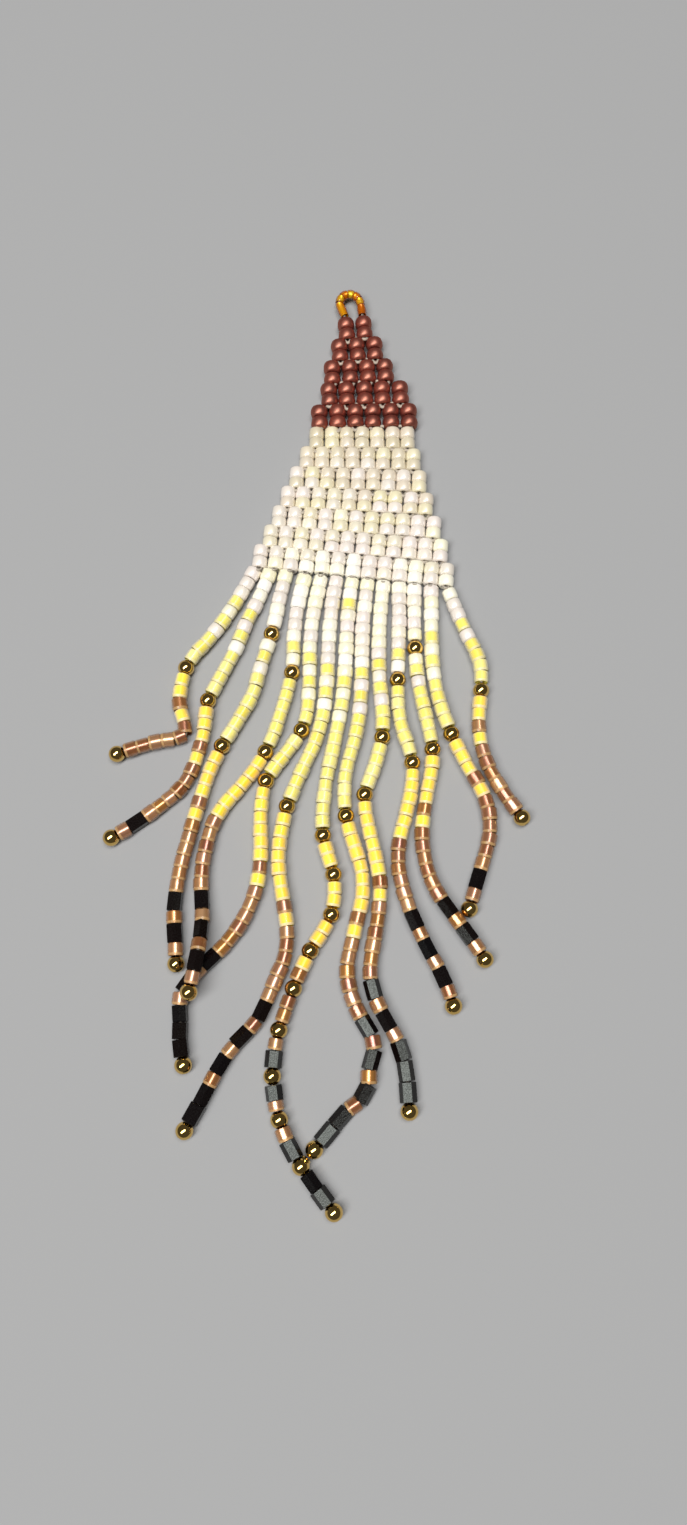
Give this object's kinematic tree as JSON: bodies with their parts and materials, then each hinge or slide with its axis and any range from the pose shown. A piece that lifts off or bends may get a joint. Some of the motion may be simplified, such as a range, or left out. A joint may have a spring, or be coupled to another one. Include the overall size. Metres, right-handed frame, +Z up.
{
  "type": "dangle earring",
  "caption": "Long woven seed-bead drop earring: a small top loop, a tapered brick-stitch body and a fringe of graded bead strings, each tipped with a gold ball.",
  "frame": {"origin": "on the surface the earring lies on, under the middle of the whole earring", "axes": "+Y towards the hanging loop, +X to the right of the weave, +Z up from the surface"},
  "size_m": [0.0454, 0.1052, 0.0037],
  "materials": {
    "amber_lined_glass": "clear amber glass with a gold-lined hole",
    "matte_brown_glass": "opaque glass with an etched matte surface",
    "white_pearl_glass": "opaque white glass with a pearl lustre",
    "fringe_glass": "glossy glass beads in white, yellow, rose brown and black",
    "gold_ball_metal": "polished gold-coloured plating",
    "white_thread": "waxed white beading thread"
  },
  "bodies": {
    "root": {"brown_beadwork": "matte_brown_glass", "end_ball_01": "gold_ball_metal", "end_ball_02": "gold_ball_metal", "end_ball_03": "gold_ball_metal", "end_ball_04": "gold_ball_metal", "end_ball_05": "gold_ball_metal", "end_ball_06": "gold_ball_metal", "end_ball_07": "gold_ball_metal", "end_ball_08": "gold_ball_metal", "end_ball_09": "gold_ball_metal", "end_ball_10": "gold_ball_metal", "end_ball_11": "gold_ball_metal", "end_ball_12": "gold_ball_metal", "end_ball_13": "gold_ball_metal", "hanging_loop": "amber_lined_glass", "spacer_ball_01_1": "gold_ball_metal", "spacer_ball_02_1": "gold_ball_metal", "spacer_ball_03_1": "gold_ball_metal", "spacer_ball_03_2": "gold_ball_metal", "spacer_ball_04_1": "gold_ball_metal", "spacer_ball_04_2": "gold_ball_metal", "spacer_ball_05_1": "gold_ball_metal", "spacer_ball_05_2": "gold_ball_metal", "spacer_ball_06_1": "gold_ball_metal", "spacer_ball_07_1": "gold_ball_metal", "spacer_ball_07_2": "gold_ball_metal", "spacer_ball_07_3": "gold_ball_metal", "spacer_ball_07_4": "gold_ball_metal", "spacer_ball_07_5": "gold_ball_metal", "spacer_ball_07_6": "gold_ball_metal", "spacer_ball_07_7": "gold_ball_metal", "spacer_ball_07_8": "gold_ball_metal", "spacer_ball_07_9": "gold_ball_metal", "spacer_ball_08_1": "gold_ball_metal", "spacer_ball_09_1": "gold_ball_metal", "spacer_ball_09_2": "gold_ball_metal", "spacer_ball_10_1": "gold_ball_metal", "spacer_ball_10_2": "gold_ball_metal", "spacer_ball_11_1": "gold_ball_metal", "spacer_ball_11_2": "gold_ball_metal", "spacer_ball_12_1": "gold_ball_metal", "spacer_ball_13_1": "gold_ball_metal", "strand_01": "fringe_glass", "strand_02": "fringe_glass", "strand_03": "fringe_glass", "strand_04": "fringe_glass", "strand_05": "fringe_glass", "strand_06": "fringe_glass", "strand_07": "fringe_glass", "strand_08": "fringe_glass", "strand_09": "fringe_glass", "strand_10": "fringe_glass", "strand_11": "fringe_glass", "strand_12": "fringe_glass", "strand_13": "fringe_glass", "white_beadwork": "white_pearl_glass"}
  },
  "joints": []
}
